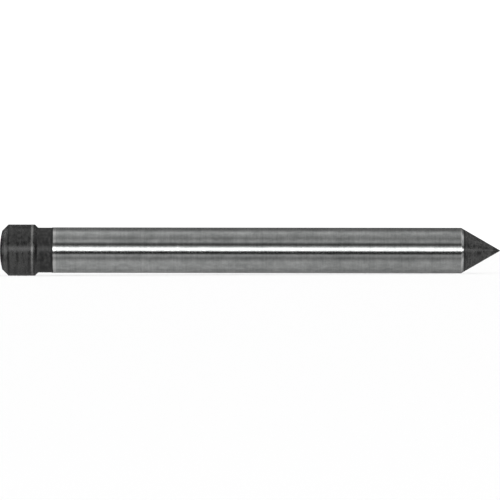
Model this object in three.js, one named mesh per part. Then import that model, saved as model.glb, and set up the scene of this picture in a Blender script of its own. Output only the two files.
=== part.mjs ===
// A headed pilot pin, turned from one bar of steel and built as a three.js scene graph.
//
// Millimetres, +Z up, +X along the axis towards the point. The origin is on the axis, at the centre of the
// small flat that is left on the crowned rear end. From there the pin runs through its head, a 45 degree
// shoulder, a slightly relieved neck and the ground shank to a 60 degree point.

import * as THREE from "three";

// ---------- driving dimensions ----------

const overallLength = 88;
const shankDiameter = 8;

// head
const shoulderHeight = 0.5; // how far the head stands out from the shank
const headLength = 6.7; // from the rear flat to the neck, shoulder included
const shoulderAngle = 45; // from the axis, degrees
const shoulderEdgeRounding = 0.2;
const shoulderRootRounding = 0.3;
const rearChamfer = 1.1; // at 45 degrees
const rearChamferRounding = 0.15;
const crownRadius = 14;
const rearFlatDiameter = 2.1;

// neck, left as turned between the shoulder and the ground shank
const neckLength = 2.5;
const neckRelief = 0.05; // how far the neck lies below the shank

// point
const pointAngle = 60; // included angle, degrees
const tipRounding = 0.1;

// roundness
const sides = 72;
const degreesPerStep = 15; // in the roundings of the outline
const crownSteps = 6;

// ---------- sizes worked out from the ones above ----------

const radians = THREE.MathUtils.degToRad;
const shankRadius = shankDiameter / 2;
const neckRadius = shankRadius - neckRelief;
const headRadius = shankRadius + shoulderHeight;
const rearFlatRadius = rearFlatDiameter / 2;
const crownEdgeRadius = headRadius - rearChamfer;

// depth of the crown's sphere below its top, at a distance from the axis
const crownDepth = (radius) => crownRadius - Math.sqrt(crownRadius ** 2 - radius ** 2);
const crownHeight = crownDepth(crownEdgeRadius) - crownDepth(rearFlatRadius);

const shoulderLength = (headRadius - neckRadius) / Math.tan(radians(shoulderAngle));
const shankStart = headLength + neckLength;

// A rounded tip stops short of the sharp cone's apex.
const pointSlope = Math.tan(radians(pointAngle / 2));
const tipSetback = tipRounding / Math.sin(radians(pointAngle / 2)) - tipRounding;
const apex = overallLength + tipSetback;
const pointBase = apex - shankRadius / pointSlope;

// ---------- outline ----------

// The arc that rounds a corner between two straight runs, as points. The corner before it, the corner
// itself and the corner after it are Vector2s.
function rounding(before, corner, after, radius) {
  const back = before.clone().sub(corner).normalize();
  const ahead = after.clone().sub(corner).normalize();
  const halfAngle = Math.acos(THREE.MathUtils.clamp(back.dot(ahead), -1, 1)) / 2;
  const middle = back.clone().add(ahead).normalize();
  const centre = corner.clone().addScaledVector(middle, radius / Math.sin(halfAngle));
  const start = corner.clone().addScaledVector(back, radius / Math.tan(halfAngle));
  const turn = Math.sign(back.cross(ahead)) * -(Math.PI - 2 * halfAngle);
  const steps = Math.ceil(Math.abs(turn) / radians(degreesPerStep));
  return Array.from({ length: steps + 1 }, (_, i) => start.clone().rotateAround(centre, (turn * i) / steps));
}

// Corners are [x, radius, rounding]; a corner without a rounding stays sharp.
function roundedOutline(corners) {
  const points = corners.map(([x, radius]) => new THREE.Vector2(radius, x));
  return points.flatMap((point, i) => {
    const size = corners[i][2];
    return size ? rounding(points[i - 1], point, points[i + 1], size) : [point];
  });
}

// The crown, from the rear flat's edge out to the chamfer.
function crown() {
  return Array.from({ length: crownSteps }, (_, i) => {
    const radius = THREE.MathUtils.lerp(rearFlatRadius, crownEdgeRadius, i / crownSteps);
    return [crownDepth(radius) - crownDepth(rearFlatRadius), radius];
  });
}

// The tip, from where its sphere leaves the cone to the axis.
function tip() {
  const centre = overallLength - tipRounding;
  const opening = 90 - pointAngle / 2;
  const steps = Math.ceil(opening / degreesPerStep);
  return Array.from({ length: steps + 1 }, (_, i) => {
    const angle = radians(opening * (1 - i / steps));
    return [centre + tipRounding * Math.cos(angle), tipRounding * Math.sin(angle)];
  });
}

function pinOutline() {
  return roundedOutline([
    [0, 0],
    ...crown(),
    [crownHeight, crownEdgeRadius, rearChamferRounding],
    [crownHeight + rearChamfer, headRadius, rearChamferRounding],
    [headLength - shoulderLength, headRadius, shoulderEdgeRounding],
    [headLength, neckRadius, shoulderRootRounding],
    [shankStart - neckRelief, neckRadius],
    [shankStart, shankRadius],
    [pointBase, shankRadius],
    ...tip(),
  ]);
}

// ---------- pin ----------

const groundSteel = new THREE.MeshStandardMaterial({ color: 0x9b9f9e, roughness: 0.22, metalness: 1 });

// LatheGeometry turns an outline round Y, and the pin lies along X.
const pin = new THREE.Mesh(new THREE.LatheGeometry(pinOutline(), sides).rotateZ(-Math.PI / 2), groundSteel);
pin.name = "pin";

const pilotPin = new THREE.Group();
pilotPin.name = "pilot_pin";
pilotPin.add(pin);

export default pilotPin;
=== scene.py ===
"""The looks of a headed steel pilot pin: ground shank, black oxide head, neck and point."""

import math

import bpy
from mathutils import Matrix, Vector


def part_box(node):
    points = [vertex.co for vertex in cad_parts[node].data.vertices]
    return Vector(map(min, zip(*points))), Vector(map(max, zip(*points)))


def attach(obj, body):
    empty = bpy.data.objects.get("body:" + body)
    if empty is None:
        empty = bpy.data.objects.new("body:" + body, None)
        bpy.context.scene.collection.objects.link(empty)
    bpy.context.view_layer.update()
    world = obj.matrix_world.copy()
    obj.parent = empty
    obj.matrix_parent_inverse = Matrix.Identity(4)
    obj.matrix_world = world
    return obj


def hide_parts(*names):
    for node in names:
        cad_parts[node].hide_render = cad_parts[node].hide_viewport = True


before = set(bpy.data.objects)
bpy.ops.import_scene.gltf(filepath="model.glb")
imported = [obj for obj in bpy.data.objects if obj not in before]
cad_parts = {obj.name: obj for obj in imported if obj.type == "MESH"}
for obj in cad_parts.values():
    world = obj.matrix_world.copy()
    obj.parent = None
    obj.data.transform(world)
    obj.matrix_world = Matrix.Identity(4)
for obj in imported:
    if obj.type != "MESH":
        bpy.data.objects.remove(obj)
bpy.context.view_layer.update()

MM = 0.001  # Blender works in metres, the sizes below are in millimetres

# ---------- sizes of the pin ----------

_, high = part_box("pin")
LENGTH = high.x / MM
HEAD_RADIUS = high.z / MM
HEAD_LENGTH = 6.7  # shoulder included
SHOULDER_HEIGHT = 0.5
SHOULDER_EDGE_ROUNDING = 0.2
SHOULDER_ROOT_ROUNDING = 0.3
REAR_CHAMFER = 1.1
REAR_CHAMFER_ROUNDING = 0.15
CROWN_RADIUS = 14
REAR_FLAT_RADIUS = 1.05
REAR_FLAT_ROUNDING = 0.1
NECK_LENGTH = 2.5
NECK_RELIEF = 0.05
RUN_OUT_ROUNDING = 0.03  # where the ground shank meets the neck
POINT_HALF_ANGLE = math.radians(30)
POINT_BASE_ROUNDING = 0.12
TIP_ROUNDING = 0.1

# ---------- sizes of the finish ----------

FEED = 0.16  # pitch of the lathe's marks
OXIDE_LAP = 0.17  # how far the oxide laps over the start of the shank
BEVEL_LENGTH = 0.34  # how far along X the ground surface runs on over the cone
RAGGEDNESS = 0.035  # about how far the borders between black and bright wander, either way
RIPPLES = [(3, 1.0, 0.4), (7, 0.7, 2.0), (16, 0.5, 1.1)]  # waves round a border: count, height, phase
SAME_PLACE = 1e-4  # how near a vertex lies to a border that runs through it

# ---------- sizes worked out from the ones above ----------


def crown_depth(radius):
    """Depth of the crown's sphere below its top, at a distance from the axis."""
    return CROWN_RADIUS - math.sqrt(CROWN_RADIUS**2 - radius**2)


SHANK_RADIUS = HEAD_RADIUS - SHOULDER_HEIGHT
NECK_RADIUS = SHANK_RADIUS - NECK_RELIEF
CROWN_EDGE_RADIUS = HEAD_RADIUS - REAR_CHAMFER
FLAT_DEPTH = crown_depth(REAR_FLAT_RADIUS)
CROWN_DEPTH = crown_depth(CROWN_EDGE_RADIUS)  # from the sphere's top, which the flat cuts off
CHAMFER_START = CROWN_DEPTH - FLAT_DEPTH
SHOULDER_START = HEAD_LENGTH - (HEAD_RADIUS - NECK_RADIUS)
SHANK_START = HEAD_LENGTH + NECK_LENGTH
APEX = LENGTH + TIP_ROUNDING / math.sin(POINT_HALF_ANGLE) - TIP_ROUNDING
POINT_BASE = APEX - SHANK_RADIUS / math.tan(POINT_HALF_ANGLE)
OXIDE_END = SHANK_START + OXIDE_LAP
BEVEL_END = POINT_BASE + BEVEL_LENGTH

# The lathe's slow chatter on head, neck and cone: where it starts and ends, how deep it cuts, and how long
# its waves are.
BEVEL_CALM = 0.2  # the cone has no chatter this near its bevel
TIP_CALM = 1.0  # nor this near its tip
CHATTER = [
    (CROWN_DEPTH + REAR_CHAMFER, SHOULDER_START - SHOULDER_EDGE_ROUNDING, 0.006, 1.45),
    (HEAD_LENGTH + SHOULDER_ROOT_ROUNDING, SHANK_START - NECK_RELIEF, 0.002, 0.9),
    (BEVEL_END + BEVEL_CALM, LENGTH - TIP_CALM, 0.003, 1.1),
]

# ---------- fineness of the mesh ----------

SIDES = 192
ROUNDING_STEP = math.radians(6)
CROWN_STEPS = 24
TURNED_STEP = 0.12  # along the turned surfaces, which carry waviness
GROUND_STEP = 1.5


# ---------- outline ----------


def crown_points():
    """Points of the crown's sphere from the rear flat out to the chamfer."""
    for i in range(1, CROWN_STEPS):
        radius = REAR_FLAT_RADIUS + (CROWN_EDGE_RADIUS - REAR_FLAT_RADIUS) * i / CROWN_STEPS
        yield Vector((crown_depth(radius) - FLAT_DEPTH, radius))


def rounding(before, corner, after, radius):
    """Points of the arc that rounds a corner between two straight runs."""
    back, ahead = (before - corner).normalized(), (after - corner).normalized()
    half = back.angle(ahead) / 2
    centre = corner + (back + ahead).normalized() * radius / math.sin(half)
    start = corner + back * radius / math.tan(half) - centre
    turn = math.pi - 2 * half
    if back.cross(ahead) > 0:
        turn = -turn
    steps = max(2, math.ceil(abs(turn) / ROUNDING_STEP))
    for i in range(steps + 1):
        angle = turn * i / steps
        cos, sin = math.cos(angle), math.sin(angle)
        yield centre + Vector((start.x * cos - start.y * sin, start.x * sin + start.y * cos))


def tip_points():
    """Points of the tip's sphere, from the cone to the axis."""
    opening = math.pi / 2 - POINT_HALF_ANGLE
    steps = math.ceil(opening / ROUNDING_STEP)
    for i in range(steps + 1):
        angle = opening * (1 - i / steps)
        yield Vector((LENGTH - TIP_ROUNDING + TIP_ROUNDING * math.cos(angle), TIP_ROUNDING * math.sin(angle)))


def outline():
    """The pin's outline as Vectors of (x, radius) in millimetres, from the rear flat's centre to the tip."""
    corners = [
        (Vector((0, 0)), 0),
        (Vector((0, REAR_FLAT_RADIUS)), REAR_FLAT_ROUNDING),
        *((point, 0) for point in crown_points()),
        (Vector((CHAMFER_START, CROWN_EDGE_RADIUS)), REAR_CHAMFER_ROUNDING),
        (Vector((CHAMFER_START + REAR_CHAMFER, HEAD_RADIUS)), REAR_CHAMFER_ROUNDING),
        (Vector((SHOULDER_START, HEAD_RADIUS)), SHOULDER_EDGE_ROUNDING),
        (Vector((HEAD_LENGTH, NECK_RADIUS)), SHOULDER_ROOT_ROUNDING),
        (Vector((SHANK_START - NECK_RELIEF, NECK_RADIUS)), RUN_OUT_ROUNDING),
        (Vector((SHANK_START, SHANK_RADIUS)), RUN_OUT_ROUNDING),
        (Vector((POINT_BASE, SHANK_RADIUS)), POINT_BASE_ROUNDING),
        *((point, 0) for point in tip_points()),
    ]
    points = []
    for i, (corner, radius) in enumerate(corners):
        if radius:
            points += rounding(corners[i - 1][0], corner, corners[i + 1][0], radius)
        else:
            points.append(corner)
    return subdivided(points)


def subdivided(points):
    """The outline with its long straight runs cut into steps, and a point where black meets bright."""
    made = [points[0]]
    for start, end in zip(points, points[1:]):
        for border in (OXIDE_END, BEVEL_END):
            if start.x < border < end.x:
                made += run(start, start.lerp(end, (border - start.x) / (end.x - start.x)))
                start = made[-1]
        made += run(start, end)
    return made


def run(start, end):
    """Points in even steps from start, which is left out, to end."""
    ground = SHANK_START <= start.x < POINT_BASE
    steps = math.ceil((end - start).length / (GROUND_STEP if ground else TURNED_STEP))
    return [start.lerp(end, i / steps) for i in range(1, steps + 1)]


def normal_at(points, i):
    """The outward normal of an outline at one of its points."""
    along = points[min(i + 1, len(points) - 1)] - points[max(i - 1, 0)]
    return Vector((-along.y, along.x)).normalized()


def waviness(point):
    """How far a lathe's slow chatter cuts below the outline, in millimetres. It fades out at the corners."""
    for begin, end, depth, period in CHATTER:
        if begin < point.x < end:
            fade = math.sin(math.pi * (point.x - begin) / (end - begin)) ** 0.5
            phase = 2 * math.pi * (point.x - begin) / period
            long_wave = 0.32 * math.cos(phase)
            short_wave = 0.18 * math.cos(2.3 * phase + 1.1)
            return depth * fade * (0.5 - long_wave - short_wave)
    return 0


def wander(point, angle):
    """How far a point at the border between black and bright slides along the outline, as a Vector."""
    ripple = sum(height * math.sin(count * angle + phase) for count, height, phase in RIPPLES)
    ripple *= RAGGEDNESS / 2
    if abs(point.x - OXIDE_END) < SAME_PLACE:
        return Vector((ripple, 0))
    if abs(point.x - BEVEL_END) < SAME_PLACE:
        return Vector((ripple, -ripple * math.tan(POINT_HALF_ANGLE)))
    return Vector((0, 0))


# ---------- mesh ----------


def turned_mesh(name):
    """The outline turned round X, with the outline's normals, as a mesh of rings between two poles."""
    smooth = outline()
    points = [point - normal_at(smooth, i) * waviness(point) for i, point in enumerate(smooth)]
    rings = range(1, len(points) - 1)

    vertices = [(points[0].x * MM, 0, 0)]
    directions = [(-1, 0, 0)]
    for i in rings:
        normal = normal_at(points, i)
        for side in range(SIDES):
            angle = 2 * math.pi * side / SIDES
            cos, sin = math.cos(angle), math.sin(angle)
            point = (points[i] + wander(points[i], angle)) * MM
            vertices.append((point.x, point.y * cos, point.y * sin))
            directions.append((normal.x, normal.y * cos, normal.y * sin))
    vertices.append((points[-1].x * MM, 0, 0))
    directions.append((1, 0, 0))

    def at(ring, side):
        return 1 + (ring - 1) * SIDES + side % SIDES

    last = len(vertices) - 1
    faces = [(0, at(1, side), at(1, side + 1)) for side in range(SIDES)]
    for i in rings[:-1]:
        for side in range(SIDES):
            faces.append((at(i, side), at(i + 1, side), at(i + 1, side + 1), at(i, side + 1)))
    faces += [(at(rings[-1], side), last, at(rings[-1], side + 1)) for side in range(SIDES)]
    faces = [face[::-1] for face in faces]

    mesh = bpy.data.meshes.new(name)
    mesh.from_pydata(vertices, [], faces)
    mesh.validate()
    mesh.shade_smooth()
    mesh.normals_split_custom_set_from_vertices(directions)
    return mesh


def paint_zones(mesh, ground, black):
    """Gives the ground steel to the shank and the bevel, and the black oxide to all the rest."""
    mesh.materials.append(ground)
    mesh.materials.append(black)
    for face in mesh.polygons:
        inside = OXIDE_END < face.center.x / MM < BEVEL_END
        face.material_index = 0 if inside else 1


# ---------- node trees ----------


class Tree:
    """Adds nodes to a node tree and links them in the same call."""

    def __init__(self, owner):
        owner.use_nodes = True
        self.tree = owner.node_tree
        self.tree.nodes.clear()

    def add(self, kind, inputs=(), **settings):
        node = self.tree.nodes.new(kind)
        for key, value in settings.items():
            setattr(node, key, value)
        for key, value in dict(inputs).items():
            if isinstance(value, bpy.types.NodeSocket):
                self.tree.links.new(value, node.inputs[key])
            else:
                node.inputs[key].default_value = value
        return node

    def math(self, operation, *values, clamp=False):
        return self.add("ShaderNodeMath", enumerate(values), operation=operation, use_clamp=clamp).outputs[0]

    def highest(self, values):
        top, *rest = values
        for value in rest:
            top = self.math("MAXIMUM", top, value)
        return top

    def millimetres(self):
        """The place on the pin in millimetres, as a vector and its x."""
        place = self.add("ShaderNodeTexCoord").outputs["Object"]
        scaled = self.add("ShaderNodeVectorMath", {0: place, "Scale": 1 / MM}, operation="SCALE").outputs[0]
        return scaled, self.add("ShaderNodeSeparateXYZ", {0: scaled}).outputs["X"]

    def unrolled(self, place):
        """The place with an x that also counts the way in towards the axis, and that x by itself.

        The way in counts backwards on the head's rear half and forwards on the rest, so the turning marks
        ring the crown and the cone too.
        """
        split = self.add("ShaderNodeSeparateXYZ", {0: place}).outputs
        across = self.math("ADD", self.math("POWER", split["Y"], 2.0), self.math("POWER", split["Z"], 2.0))
        drop = self.math("SUBTRACT", HEAD_RADIUS, self.math("SQRT", across))
        side = self.spread(split["X"], HEAD_LENGTH / 2, HEAD_LENGTH / 2 + 0.01, -1.0, 1.0)
        travel = self.math("MULTIPLY_ADD", drop, side, split["X"])
        return self.add("ShaderNodeCombineXYZ", {0: travel, 1: split["Y"], 2: split["Z"]}).outputs[0], travel

    def noise(self, place, stretch, detail=3.0, roughness=0.55):
        """Noise from 0 to 1, with stretch cells to the millimetre along x, y and z."""
        scaled = self.add("ShaderNodeVectorMath", {0: place, 1: stretch}, operation="MULTIPLY").outputs[0]
        inputs = {"Vector": scaled, "Scale": 1.0, "Detail": detail, "Roughness": roughness}
        return self.add("ShaderNodeTexNoise", inputs).outputs["Fac"]

    def spread(self, value, low, high, start=0.0, end=1.0):
        """value mapped from low..high to start..end, and held there beyond."""
        inputs = {"Value": value, "From Min": low, "From Max": high, "To Min": start, "To Max": end}
        return self.add("ShaderNodeMapRange", inputs).outputs["Result"]

    def band(self, x, centre, half_width, softness):
        """1 within half_width of centre, falling to 0 over softness."""
        away = self.math("ABSOLUTE", self.math("SUBTRACT", x, centre))
        return self.spread(away, half_width, half_width + softness, 1.0, 0.0)

    def mix(self, factor, first, second):
        """The first colour where factor is 0, and the second where it is 1."""
        inputs = {"Factor": factor, 6: first, 7: second}
        return self.add("ShaderNodeMix", inputs, data_type="RGBA").outputs[2]

    def bump(self, height, depth, normal=None):
        """A bump whose height of 1 stands depth millimetres out."""
        inputs = {"Height": height, "Strength": 1.0, "Distance": depth * MM}
        if normal:
            inputs["Normal"] = normal
        return self.add("ShaderNodeBump", inputs).outputs["Normal"]

    def surface(self, inputs):
        shader = self.add("ShaderNodeBsdfPrincipled", inputs)
        self.add("ShaderNodeOutputMaterial", {"Surface": shader.outputs[0]})


# ---------- ground steel ----------

STEEL_DARK = (0.47, 0.485, 0.48, 1)
STEEL_PALE = (0.87, 0.885, 0.875, 1)
RUN_OUT_COLOUR = (0.97, 0.97, 0.96, 1)
BEVEL_COLOUR = (0.66, 0.67, 0.67, 1)
# The pale lines where the grinding runs out: the middle, half width and softness of each.
RUN_OUTS = [(OXIDE_END + 0.24, 0.2, 0.12), (POINT_BASE + 0.01, 0.1, 0.05)]


def ground_steel():
    """Centreless ground steel: fine marks round the shank, faint clouds, and a pale line at both ends."""
    material = bpy.data.materials.new("ground_steel")
    tree = Tree(material)
    place, x = tree.millimetres()
    marks = tree.noise(place, (9.0, 0.35, 0.35), detail=5)
    lines = tree.noise(place, (2.2, 0.06, 0.06), detail=4)
    cloud = tree.noise(place, (0.55, 1.0, 1.0), detail=4, roughness=0.6)
    drift = tree.noise(place, (0.2, 0.12, 0.12), detail=3)
    lobes = tree.noise(place, (0.7, 0.45, 0.45), detail=3)
    dashes = tree.noise(place, (1.3, 0.6, 0.6), detail=2)
    scratches = tree.spread(tree.noise(place, (0.16, 9.0, 9.0), detail=2), 0.66, 0.74)
    run_out = tree.highest([tree.band(x, *ring) for ring in RUN_OUTS])

    tone = tree.spread(cloud, 0.35, 0.67, 0.0, 0.45)
    tone = tree.math("MULTIPLY_ADD", tree.spread(marks, 0.3, 0.7), 0.25, tone)
    tone = tree.math("MULTIPLY_ADD", tree.spread(drift, 0.38, 0.62), 0.2, tone)
    tone = tree.math("MULTIPLY_ADD", tree.spread(lines, 0.35, 0.65), 0.15, tone)
    colour = tree.mix(tone, STEEL_DARK, STEEL_PALE)
    colour = tree.mix(run_out, colour, RUN_OUT_COLOUR)
    bevel = tree.spread(x, POINT_BASE + 0.02, POINT_BASE + 0.1)
    colour = tree.mix(bevel, colour, BEVEL_COLOUR)
    rough = tree.spread(marks, 0.3, 0.7, 0.15, 0.21)
    rough = tree.math("MULTIPLY_ADD", scratches, 0.06, rough)
    rough = tree.math("MULTIPLY_ADD", run_out, 0.02, rough)
    normal = tree.bump(marks, 0.0006, tree.bump(dashes, 0.009, tree.bump(lobes, 0.005)))
    along_axis = tree.add("ShaderNodeTangent", direction_type="RADIAL", axis="X").outputs[0]
    tree.surface(
        {
            "Base Color": colour,
            "Metallic": 1.0,
            "Roughness": rough,
            "Anisotropic": 0.7,
            "Anisotropic Rotation": 0.25,
            "Tangent": along_axis,
            "Normal": normal,
        }
    )
    return material


# ---------- black oxide ----------

OXIDE_IOR = 1.68  # magnetite mirrors more than paint does
# The darkest oxide tone is also what the painted shade on the rims, steps and neck falls to.
OXIDE_DARKEST = (0.003, 0.0031, 0.0032, 1)
OXIDE_THIN = (0.046, 0.046, 0.0452, 1)
WORN_STEEL_AND_HIGHLIGHT = (0.36, 0.36, 0.355, 1)
# Where edges rub, and where the chamfer gets a painted highlight: the middle, half width and softness of each
# ring.
WORN_LIP = (SHOULDER_START - 0.42, 0.1, 0.14)
CHAMFER_HIGHLIGHT_RING = (CROWN_DEPTH + REAR_CHAMFER * 0.5, 0.03, 0.13)
CHAMFER_HIGHLIGHT = 0.13  # how strong the chamfer's painted highlight is, where the lip's wear is 1
# Painted shade at the neck's end, on the shoulder and at the chamfer's outer edge, and a darker ring just
# past the bevel.
SHADE_AND_DARK_RINGS = [
    (OXIDE_END - 0.2, 0.12, 0.15),
    (BEVEL_END + 0.2, 0.12, 0.2),
    (HEAD_LENGTH - 0.35, 0.2, 0.12),
    (CROWN_DEPTH + REAR_CHAMFER, 0.1, 0.15),
]


def wear_and_chamfer_highlight(tree, x, mottle, scuffs):
    """How far the oxide is rubbed off in a broken line before the shoulder, with a faint painted highlight on
    the chamfer.
    """
    lip = tree.band(x, *WORN_LIP)
    # The chamfer's band is a painted highlight, drawn as bright metal where a rounded chamfer would catch the
    # light.
    chamfer = tree.math("MULTIPLY", tree.band(x, *CHAMFER_HIGHLIGHT_RING), CHAMFER_HIGHLIGHT)
    broken = tree.spread(tree.math("MULTIPLY_ADD", scuffs, 0.3, mottle), 0.42, 0.7, 0.35, 1.0)
    return tree.math("MULTIPLY", tree.math("MAXIMUM", lip, chamfer), broken)


def shade_and_dark_rims(tree, x):
    """Where the oxide is at its blackest: some rings, mostly painted shade, and the crown with its edge and
    the tip, painted darker.
    """
    rings = [tree.band(x, *ring) for ring in SHADE_AND_DARK_RINGS]
    crown = tree.spread(x, CROWN_DEPTH + 0.2, CROWN_DEPTH + 0.45, 1.0, 0.0)
    tip = tree.spread(x, LENGTH - 1.4, LENGTH - 0.9)
    return tree.highest([*rings, crown, tip])


def oxide_tone(tree, place, x, turned, neck, mottle, scuffs):
    """The oxide's tone: mottled, ringed most on the lower half, darker on the neck (untouched oxide and
    painted shade in its recess), blotchy on the cone, and with painted shade on steps and rims.
    """
    patches = tree.noise(place, (0.5, 0.5, 0.5), detail=2)
    rings = tree.noise(turned, (1.5, 0.09, 0.09), detail=4, roughness=0.6)
    height = tree.add("ShaderNodeSeparateXYZ", {0: place}).outputs["Z"]
    ringed = tree.spread(height, -1.5, 0.5, 1.0, 0.25)
    blotches = tree.math("MULTIPLY", scuffs, tree.spread(x, SHANK_START, BEVEL_END, 0.3, 2.4))
    uneven = tree.spread(x, HEAD_LENGTH - 0.2, HEAD_LENGTH, 0.0, 2.0)

    tone = tree.math("MULTIPLY", tree.spread(mottle, 0.34, 0.68), tree.spread(patches, 0.38, 0.62, 0.45, 0.8))
    tone = tree.math("MULTIPLY_ADD", tree.math("MULTIPLY", tree.spread(rings, 0.46, 0.6), ringed), 0.85, tone)
    tone = tree.math("ADD", tone, blotches)
    # Painted shade in the neck's recess, on top of untouched oxide there: the tone halves along the neck.
    tone = tree.math("MULTIPLY", tone, tree.spread(neck, 0.0, 1.0, 1.0, 0.5))
    tone = tree.math("MULTIPLY", tone, tree.spread(x, SHANK_START, BEVEL_END, 1.0, 0.85))
    tone = tree.math("MULTIPLY_ADD", tree.math("SUBTRACT", mottle, 0.48), uneven, tone)
    # Painted shade on the shoulder, at the neck's end and at the chamfer's edge, and darker rims at the
    # crown, the tip and past the bevel.
    return tree.math("MULTIPLY", tone, tree.spread(shade_and_dark_rims(tree, x), 0.0, 1.0, 1.0, 0.15), clamp=True)


def black_oxide():
    """Black oxide over turned steel: mottled, ringed by the lathe, worn where edges rub, with a painted
    highlight on the chamfer and painted shade on its steps, rims and neck.
    """
    material = bpy.data.materials.new("black_oxide")
    tree = Tree(material)
    place, x = tree.millimetres()
    turned, travel = tree.unrolled(place)
    mottle = tree.noise(place, (2.1, 1.4, 1.4), detail=5, roughness=0.58)
    grain = tree.noise(place, (9.0, 9.0, 9.0), detail=3)
    scuffs = tree.spread(tree.noise(place, (0.8, 3.0, 3.0), detail=4), 0.56, 0.74)
    feed = tree.math("SINE", tree.math("MULTIPLY", travel, 2 * math.pi / FEED))
    neck = tree.band(x, (HEAD_LENGTH + OXIDE_END) / 2, (OXIDE_END - HEAD_LENGTH) / 2, 0.2)
    wear_and_highlight = wear_and_chamfer_highlight(tree, x, mottle, scuffs)

    tone = oxide_tone(tree, place, x, turned, neck, mottle, scuffs)
    # Worn steel on the lip, and a painted highlight on the chamfer.
    colour = tree.mix(wear_and_highlight, tree.mix(tone, OXIDE_DARKEST, OXIDE_THIN), WORN_STEEL_AND_HIGHLIGHT)
    rough = tree.spread(mottle, 0.34, 0.66, 0.22, 0.36)
    rough = tree.math("MULTIPLY_ADD", wear_and_highlight, -0.08, rough)
    rough = tree.math("MULTIPLY_ADD", neck, 0.12, rough)
    normal = tree.bump(feed, 0.0006, tree.bump(mottle, 0.016, tree.bump(grain, 0.0015)))
    tree.surface(
        {
            "Base Color": colour,
            "Metallic": tree.math("MULTIPLY", wear_and_highlight, 0.85),
            "Roughness": rough,
            "IOR": OXIDE_IOR,
            "Normal": normal,
        }
    )
    return material


# ---------- studio ----------

# What the steel mirrors, by the angle round the pin's axis: 0 is towards the camera's side, 90 straight up.
# A long narrow strip light stands between two black flags, and grey walls fill the rest.
STUDIO = [
    (-180, 0.03),
    (-168, 0.04),
    (-156, 0.30),
    (-118, 0.33),
    (-104, 0.40),
    (-63, 0.45),
    (-41, 0.22),
    (-24.5, 0.43),
    (-17.3, 0.03),
    (-5.2, 0.02),
    (-0.6, 2.3),
    (9.5, 2.3),
    (15.5, 0.8),
    (21, 0.2),
    (26, 0.04),
    (33, 0.04),
    (44, 0.41),
    (62, 0.23),
    (100, 0.5),
    (126, 0.16),
    (150, 0.17),
    (166, 0.03),
    (180, 0.03),
]
SIDE_GAIN = 1.1  # how much brighter the walls get towards the pin's two ends
SLANT = 0.4  # how much the walls across from the pin brighten towards its head
SLANT_REACH = 0.12  # the share of a direction along the pin up to which it acts in full
END_WALL = 0.06  # the dark walls off the pin's two ends
END_WALL_START = 0.78  # the share of a direction that runs along the pin where those walls begin
HEAD_LAMP = 1.8  # a small round lamp off the head's end
HEAD_LAMP_EDGE = 0.98
HEAD_LAMP_SOFTNESS = 0.01
BACK_STRIP = 1.8  # two strip lights behind the pin, above it and off to its two ends
BACK_STRIP_ANGLE = math.radians(150)
BACK_STRIP_HALF_WIDTH = math.radians(4)
BACK_STRIP_SOFTNESS = math.radians(2)
BACK_STRIP_START = 0.56  # the share of a direction that runs along the pin where they begin
BACK_STRIP_FULL = BACK_STRIP_START + 0.06
WALL_WHITE = 1.12  # what the floor and the backdrop get


def mirrored_level(tree):
    """How bright the studio is in each direction that the pin can mirror."""
    direction = tree.add("ShaderNodeTexCoord").outputs["Generated"]
    split = tree.add("ShaderNodeSeparateXYZ", {0: direction}).outputs
    along = tree.math("ABSOLUTE", split["X"])
    angle = tree.math("ARCTAN2", split["Z"], tree.math("MULTIPLY", split["Y"], -1.0))
    ramp = tree.add("ShaderNodeValToRGB", {"Fac": tree.spread(angle, -math.pi, math.pi)})
    stops = ramp.color_ramp.elements
    while len(stops) < len(STUDIO):
        stops.new(0.5)
    for stop, (degrees, level) in zip(stops, STUDIO):
        stop.position = (degrees + 180) / 360
        stop.color = (level, level, level, 1)
    gain = tree.math("MULTIPLY_ADD", tree.math("MULTIPLY", along, along), SIDE_GAIN, 1.0)
    slant = tree.spread(split["X"], -SLANT_REACH, SLANT_REACH, SLANT, -SLANT)
    gain = tree.math("MULTIPLY_ADD", slant, tree.spread(along, SLANT_REACH, 3 * SLANT_REACH, 1.0, 0.0), gain)
    walls = tree.math("MULTIPLY", ramp.outputs["Color"], gain)
    facing = tree.spread(along, END_WALL_START, 1.0)
    walls = tree.add("ShaderNodeMix", {"Factor": facing, "A": walls, "B": END_WALL}).outputs[0]
    lamp = tree.spread(split["X"], -HEAD_LAMP_EDGE, -HEAD_LAMP_EDGE - HEAD_LAMP_SOFTNESS, 0.0, HEAD_LAMP)
    strip = tree.band(angle, BACK_STRIP_ANGLE, BACK_STRIP_HALF_WIDTH, BACK_STRIP_SOFTNESS)
    strip_level = tree.spread(along, BACK_STRIP_START, BACK_STRIP_FULL, 0.0, BACK_STRIP)
    strip = tree.math("MULTIPLY", strip, strip_level)
    return tree.math("ADD", walls, tree.math("ADD", lamp, strip))


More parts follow.
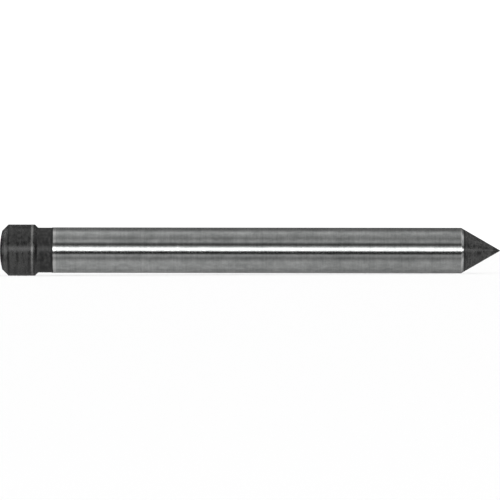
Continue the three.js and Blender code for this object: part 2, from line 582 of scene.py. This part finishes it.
def studio_world():
    """A studio whose walls and lights only mirrored light sees. Everything else gets plain white."""
    world = bpy.data.worlds.new("studio")
    bpy.context.scene.world = world
    tree = Tree(world)
    walls = tree.add("ShaderNodeBackground", {"Strength": mirrored_level(tree)})
    white = tree.add("ShaderNodeBackground", {"Color": (1, 1, 1, 1), "Strength": WALL_WHITE})
    mirrored = tree.add("ShaderNodeLightPath").outputs["Is Glossy Ray"]
    mixed = tree.add("ShaderNodeMixShader", {0: mirrored, 1: white.outputs[0], 2: walls.outputs[0]})
    tree.add("ShaderNodeOutputWorld", {"Surface": mixed.outputs[0]})


def floor_paint():
    material = bpy.data.materials.new("floor_paint")
    Tree(material).surface({"Base Color": (0.93, 0.93, 0.93, 1), "Roughness": 0.9})
    return material


def studio_floor():
    """A white floor that the lying pin touches with its head and with the edge of its cone."""
    reach = 20.0  # metres
    slope = SHOULDER_HEIGHT / (POINT_BASE - SHOULDER_START)
    touch = Vector((SHOULDER_START * MM, 0, -HEAD_RADIUS * MM))
    corners = []
    for x, y in ((-reach, -reach), (reach, -reach), (reach, reach), (-reach, reach)):
        corners.append((x, y, touch.z + (x - touch.x) * slope))
    mesh = bpy.data.meshes.new("floor")
    mesh.from_pydata(corners, [], [(0, 1, 2, 3)])
    mesh.materials.append(floor_paint())
    floor = bpy.data.objects.new("floor", mesh)
    floor.visible_glossy = False
    bpy.context.scene.collection.objects.link(floor)


def studio_camera():
    """A long lens square to the pin, with the pin filling the picture from side to side."""
    distance = 1.2  # metres
    side_margin = 0.017 * MM
    frame_width = LENGTH * MM + 2 * side_margin
    rise = 0.055 * MM
    roll = math.radians(-0.07)
    data = bpy.data.cameras.new("camera")
    data.lens = 200
    data.sensor_width = data.lens * frame_width / distance
    data.clip_start = 0.01
    data.clip_end = 100
    camera = bpy.data.objects.new("camera", data)
    camera.location = (LENGTH * MM / 2, -distance, rise)
    camera.rotation_euler = (math.pi / 2, roll, 0)
    bpy.context.scene.collection.objects.link(camera)
    bpy.context.scene.camera = camera


# ---------- scene ----------

studio_camera()
studio_world()
studio_floor()
bpy.context.scene.view_settings.view_transform = "Standard"

mesh = turned_mesh("turned_pin")
paint_zones(mesh, ground_steel(), black_oxide())
turned_pin = bpy.data.objects.new("turned_pin", mesh)
bpy.context.scene.collection.objects.link(turned_pin)
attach(turned_pin, "root")
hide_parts("pin")
